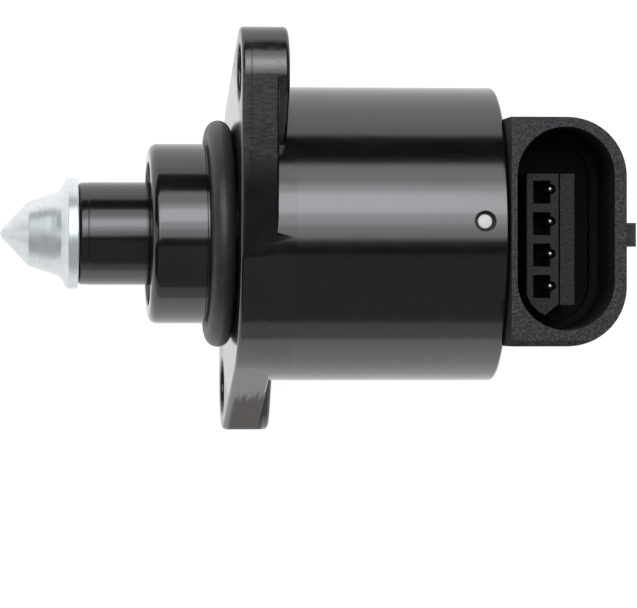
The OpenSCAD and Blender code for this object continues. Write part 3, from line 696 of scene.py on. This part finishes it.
def makePlug():
    s = plugShape
    r, edge, rim = s["r"], s["edge"], s["rim"]
    plug = [(s["root"], 0), (s["root"], r)]
    plug += [(rim - edge + edge * math.sin(a), r - edge * (1 - math.cos(a))) for a in (0, 0.4, 0.8, 1.2, 1.57)]
    plug += [(-0.44, 0.45), (s["top"], 0.2), (s["top"], 0)]
    return turned("stakingPlug", plug, closed=False, sides=48, place=stakePlace(canShape["r"]), crease=50)


standIn(makeCan(), "motor_can", "valve_body", canCoat)
# the pale plug is a painted highlight, standing in for the bright spot in the staking dimple
standIn(makePlug(), "staking_plug", "valve_body", highlightFill)
print("can made")


keepNode("connector_moulding", moulding)
softenEdges("connector_moulding", 0.13)
for i in range(1, 5):
    keepNode(f"terminal_{i}", contact)
print("connector made")


screwShape = {"r": 1.8, "flat": 1.35, "lead": 1.0, "depth": 0.32, "start": -22.0, "end": 24.0,
              "threadFrom": -14.6, "runIn": 0.6, "runOut": 0.5, "tip": 0.4}


def makeScrew():
    s = screwShape
    sides, step = 64, 0.1
    rows = int((s["end"] - s["start"]) / step)
    verts, faces = [], []
    for i in range(rows + 1):
        x = s["start"] + i * step
        fade = min(1, max(0, (x - s["threadFrom"]) / s["runIn"])) * min(1, max(0, (s["end"] - x) / s["runOut"]))
        for k in range(sides):
            a = 2 * math.pi * k / sides
            # a tooth is 0 on its crest and 1 at its root
            tooth = abs(((x / s["lead"] - k / sides) % 1) * 2 - 1)
            tooth = min(1, max(0, (tooth - 0.2) / 0.6))
            r = s["r"] - s["depth"] * tooth * fade
            y, z = r * math.cos(a), r * math.sin(a)
            if x > s["threadFrom"]:
                z = max(-s["flat"], min(s["flat"], z))
            taper = 1 - 0.12 * max(0, (x - s["end"] + s["tip"]) / s["tip"])
            verts.append((x, y * taper, z * taper))
    for i in range(rows):
        for k in range(sides):
            n = (k + 1) % sides
            faces.append([i * sides + k, i * sides + n, (i + 1) * sides + n, (i + 1) * sides + k])
    faces += [list(range(sides))[::-1], [rows * sides + k for k in range(sides)]]
    return meshFrom("leadScrew", verts, faces, 35)


springShape = {"wire": 0.35, "mean": 3.55, "from": -14.55, "to": -3.4, "turns": 5, "closedTurn": 2.12}


def makeSpring():
    s = springShape
    total, perTurn, wireSides = s["turns"] + 2, 40, 14
    closedPitch = s["wire"] * s["closedTurn"]
    activePitch = (s["to"] - s["from"] - 2 * closedPitch) / s["turns"]
    verts, faces = [], []
    count = total * perTurn + 1
    for i in range(count):
        t = i / perTurn
        if t < 1:
            x = s["from"] + closedPitch * t
        elif t > total - 1:
            x = s["to"] - closedPitch * (total - t)
        else:
            x = s["from"] + closedPitch + activePitch * (t - 1)
        a = 2 * math.pi * t
        for k in range(wireSides):
            b = 2 * math.pi * k / wireSides
            r = s["mean"] + s["wire"] * math.cos(b)
            verts.append((x + s["wire"] * math.sin(b), r * math.cos(a), r * math.sin(a)))
    for i in range(count - 1):
        for k in range(wireSides):
            n = (k + 1) % wireSides
            faces.append([i * wireSides + k, i * wireSides + n, (i + 1) * wireSides + n, (i + 1) * wireSides + k])
    faces += [list(range(wireSides))[::-1], [(count - 1) * wireSides + k for k in range(wireSides)]]
    return meshFrom("pintleSpring", verts, faces, 50)


standIn(makeScrew(), "lead_screw", "plunger", steel)

spring = makeSpring()
dress(spring, steel)
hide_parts("pintle_spring")
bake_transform(spring)

magnetShape = {"ends": span("rotor_magnet"), "bore": 4.62, "r": 8.2, "edge": 0.35}
hubShape = {"front": 0.6, "end": span("rotor_hub")[1], "threadR": 1.95, "clearR": 1.85, "tailR": 2.1,
            "tailFrom": 15.0, "neckR": 3.0, "step": 7.0, "r": 4.6, "journalR": 3.2, "journal": 3.1}
raceShape = {"front": 1.0, "end": 7.0, "r": 9.5, "shoulderR": 8.1, "trackX": 4.0, "ballCircleR": 6.3,
             "trackR": 2.03, "lipX": 5.42, "edge": 0.3}


def makeMagnet():
    s = magnetShape
    front, end = s["ends"]
    return turned("rotorMagnet", roundCorners([
        (front, s["bore"]), (front, s["r"], s["edge"]), (end, s["r"], s["edge"]), (end, s["bore"])]), sides=144)


def makeHub():
    s = hubShape
    shoulder = s["end"] - s["journal"]
    return turned("rotorHub", roundCorners([
        (s["front"], s["threadR"], 0.1), (s["front"], s["neckR"], 0.3), (s["step"], s["neckR"], 0.1),
        (s["step"], s["r"], 0.3), (shoulder, s["r"], 0.25), (shoulder, s["journalR"], 0.1),
        (s["end"], s["journalR"], 0.3), (s["end"], 0.0), (s["end"] - 1, 0.0), (s["end"] - 1, s["tailR"], 0.2),
        (s["tailFrom"], s["tailR"]), (s["tailFrom"], s["clearR"]), (s["step"], s["clearR"]),
        (s["step"], s["threadR"])]), sides=96)


def makeOuterRace():
    s = raceShape
    track = [(s["trackX"] + s["trackR"] * math.sin(a), s["ballCircleR"] + s["trackR"] * math.cos(a))
             for a in (0.42, 0.28, 0.14, 0, -0.14, -0.28, -0.42)]
    return turned("outerRace", roundCorners([
        (s["front"], s["shoulderR"], 0.15), (s["front"], s["r"], s["edge"]), (s["end"], s["r"], s["edge"]),
        (s["end"], s["shoulderR"], 0.15), (s["lipX"], s["shoulderR"], 0.05)] + track), sides=128)


standIn(makeMagnet(), "rotor_magnet", "rotor", magnet)
standIn(makeHub(), "rotor_hub", "rotor", amber)
standIn(makeOuterRace(), "bearing_outer_race", "valve_body", steel)
print("drive made")


keepNode("bearing_inner_race", steel)
keepNode("bearing_balls", steel)
keepNode("bearing_cage", amber)
keepNode("snap_ring", springSteel)
keepNode("spring_washer", springSteel)
keepNode("screw_guide", natural)
keepNode("rear_bush", bronze)
for name in ("front_stator_cup", "front_stator_plate", "rear_stator_plate", "rear_stator_cup"):
    keepNode(name, sheet)
    softenEdges(name, 0.1, segments=2)
for name in ("snap_ring", "spring_washer", "screw_guide", "rear_bush", "bearing_inner_race"):
    softenEdges(name, 0.1, segments=2)


windingShape = {"bore": 9.27, "coreR": 9.95, "coilR": 14.1, "bobbinR": 14.6, "wall": 0.68, "turns": 21}


def makeCoil(name, x0, x1):
    # a winding whose outer layer shows its turns
    s, steps = windingShape, 6
    turns = s["turns"]
    pitch = (x1 - x0) / turns
    loop = [(x1, s["coreR"]), (x0, s["coreR"])]
    for k in range(turns * steps + 1):
        t = k / (turns * steps)
        bulge = math.sqrt(max(0, 1 - (2 * ((t * turns) % 1) - 1) ** 2))
        loop.append((x0 + (x1 - x0) * t, s["coilR"] - pitch * 0.5 + pitch * 0.5 * bulge))
    return turned(name, loop, sides=96, crease=50)


def makeBobbin(name, x0, x1):
    s = windingShape
    in0, in1, core, rim = x0 + s["wall"], x1 - s["wall"], s["coreR"], s["bobbinR"]
    return turned(name, roundCorners([
        (x0, s["bore"], 0.1), (x0, rim, 0.3), (in0, rim, 0.25), (in0, core, 0.1), (in1, core, 0.1),
        (in1, rim, 0.25), (x1, rim, 0.3), (x1, s["bore"], 0.1)]), sides=128)


for end in ("front", "rear"):
    x0, x1 = span(f"{end}_coil")
    standIn(makeCoil(f"{end}Coil", x0 + 0.02, x1 - 0.02), f"{end}_coil", "valve_body", copper)
    x0, x1 = span(f"{end}_bobbin")
    standIn(makeBobbin(f"{end}Bobbin", x0, x1), f"{end}_bobbin", "valve_body", natural)
print("inner pieces made")


room = {"floorSize": 6.0, "floorTone": 0.14, "floorGlow": 0.97, "ambient": 0.015, "middle": (0.01, -0.008, 0)}


def makeFloor():
    low = min(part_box(n)[0].z for n in nodes)
    half = room["floorSize"] / 2
    mesh = bpy.data.meshes.new("floor")
    corners = [(-half, -half, low), (half, -half, low), (half, half, low), (-half, half, low)]
    mesh.from_pydata(corners, [], [(0, 1, 2, 3)])
    floor = bpy.data.objects.new("floor", mesh)
    bpy.context.scene.collection.objects.link(floor)
    f = Finish("paleFloor", (room["floorTone"],) * 3, 0.7)
    f.set("Base Color", f.mix(f.noise(40, 3), (room["floorTone"],) * 3, (room["floorTone"] * 1.05,) * 3))
    f.set("Emission Color", (1, 1, 1, 1))
    f.set("Emission Strength", room["floorGlow"])
    dress(floor, f.done())


def addLight(name, radiance, width, height, distance, elevation, sideways, colour=(1, 1, 1)):
    # radiance is that of the light's face; elevation is measured from +Z towards the top of the picture
    lamp = bpy.data.lights.new(name, "AREA")
    lamp.shape = "RECTANGLE"
    lamp.size, lamp.size_y = width, height
    lamp.energy = radiance * math.pi * width * height
    lamp.color = colour
    holder = bpy.data.objects.new(name, lamp)
    bpy.context.scene.collection.objects.link(holder)
    e, s = math.radians(elevation), math.radians(sideways)
    aim = Vector((math.sin(s) * math.cos(e), math.sin(e), math.cos(e) * math.cos(s)))
    holder.location = Vector(room["middle"]) + aim * distance
    holder.rotation_euler = aim.to_track_quat("Z", "Y").to_euler()


def makeLights():
    # the softbox is brighter towards its middle, so it is made of three panels, one before the other
    # each panel has a width, a height, a radiance and an elevation
    softbox = {"distance": 0.9, "sideways": -4, "tint": (0.94, 0.97, 1.0),
               "panels": ((0.95, 1.03, 1.8, 23.75), (0.75, 0.50, 1.15, 20.5), (0.45, 0.25, 1.9, 22))}
    for i, (width, height, radiance, elevation) in enumerate(softbox["panels"]):
        addLight(f"softbox{i}", radiance, width, height, softbox["distance"] - 0.02 * i,
                 elevation, softbox["sideways"], softbox["tint"])
    fill = {"radiance": 0.18, "width": 1.4, "height": 1.06, "distance": 1.0, "elevation": -44, "sideways": 0}
    addLight("fill", **fill)
    # the room's pale lower walls, as strips just over the floor
    # each strip has a width, a height, a distance, an elevation, a sideways angle and a radiance
    strips = {"upperWall": (2.4, 0.15, 1.0, 85.5, 0, 1.1), "lowerWall": (2.4, 0.28, 1.0, -81, 0, 0.55),
              "leftWall": (1.6, 0.30, 1.0, 0, -80, 0.8)}
    for name, (width, height, distance, elevation, sideways, radiance) in strips.items():
        if sideways:
            width, height = height, width
        addLight(name, radiance, width, height, distance, elevation, sideways)
    world = bpy.data.worlds.new("room")
    world.use_nodes = True
    tree = world.node_tree
    dim = tree.nodes["Background"]
    dim.inputs["Color"].default_value = (1, 1, 1, 1)
    dim.inputs["Strength"].default_value = room["ambient"]
    # low views see a pale room above the floor's far edge
    pale = tree.nodes.new("ShaderNodeBackground")
    pale.inputs["Color"].default_value = (1, 1, 1, 1)
    seen, rays = tree.nodes.new("ShaderNodeMixShader"), tree.nodes.new("ShaderNodeLightPath")
    tree.links.new(rays.outputs["Is Camera Ray"], seen.inputs[0])
    tree.links.new(dim.outputs[0], seen.inputs[1])
    tree.links.new(pale.outputs[0], seen.inputs[2])
    tree.links.new(seen.outputs[0], tree.nodes["World Output"].inputs["Surface"])
    bpy.context.scene.world = world


def makeCamera():
    # width is that of the picture at the target
    view = {"yaw": 5.32, "distance": 0.485, "target": (0.0102, -0.0081, 0), "width": 0.0735, "sensor": 36}
    data = bpy.data.cameras.new("camera")
    data.sensor_width = view["sensor"]
    data.lens = view["sensor"] * view["distance"] / view["width"]
    data.clip_start, data.clip_end = 0.05, 20
    camera = bpy.data.objects.new("camera", data)
    bpy.context.scene.collection.objects.link(camera)
    yaw = math.radians(view["yaw"])
    back = Vector((-math.sin(yaw), 0, math.cos(yaw)))
    right = Vector((math.cos(yaw), 0, math.sin(yaw)))
    up = Vector((0, 1, 0))
    turn = Matrix((right, up, back)).transposed().to_4x4()
    camera.matrix_world = Matrix.Translation(Vector(view["target"]) + back * view["distance"]) @ turn
    bpy.context.scene.camera = camera


makeFloor()
makeLights()
makeCamera()
bpy.context.scene.view_settings.view_transform = "Standard"
print("stage made")
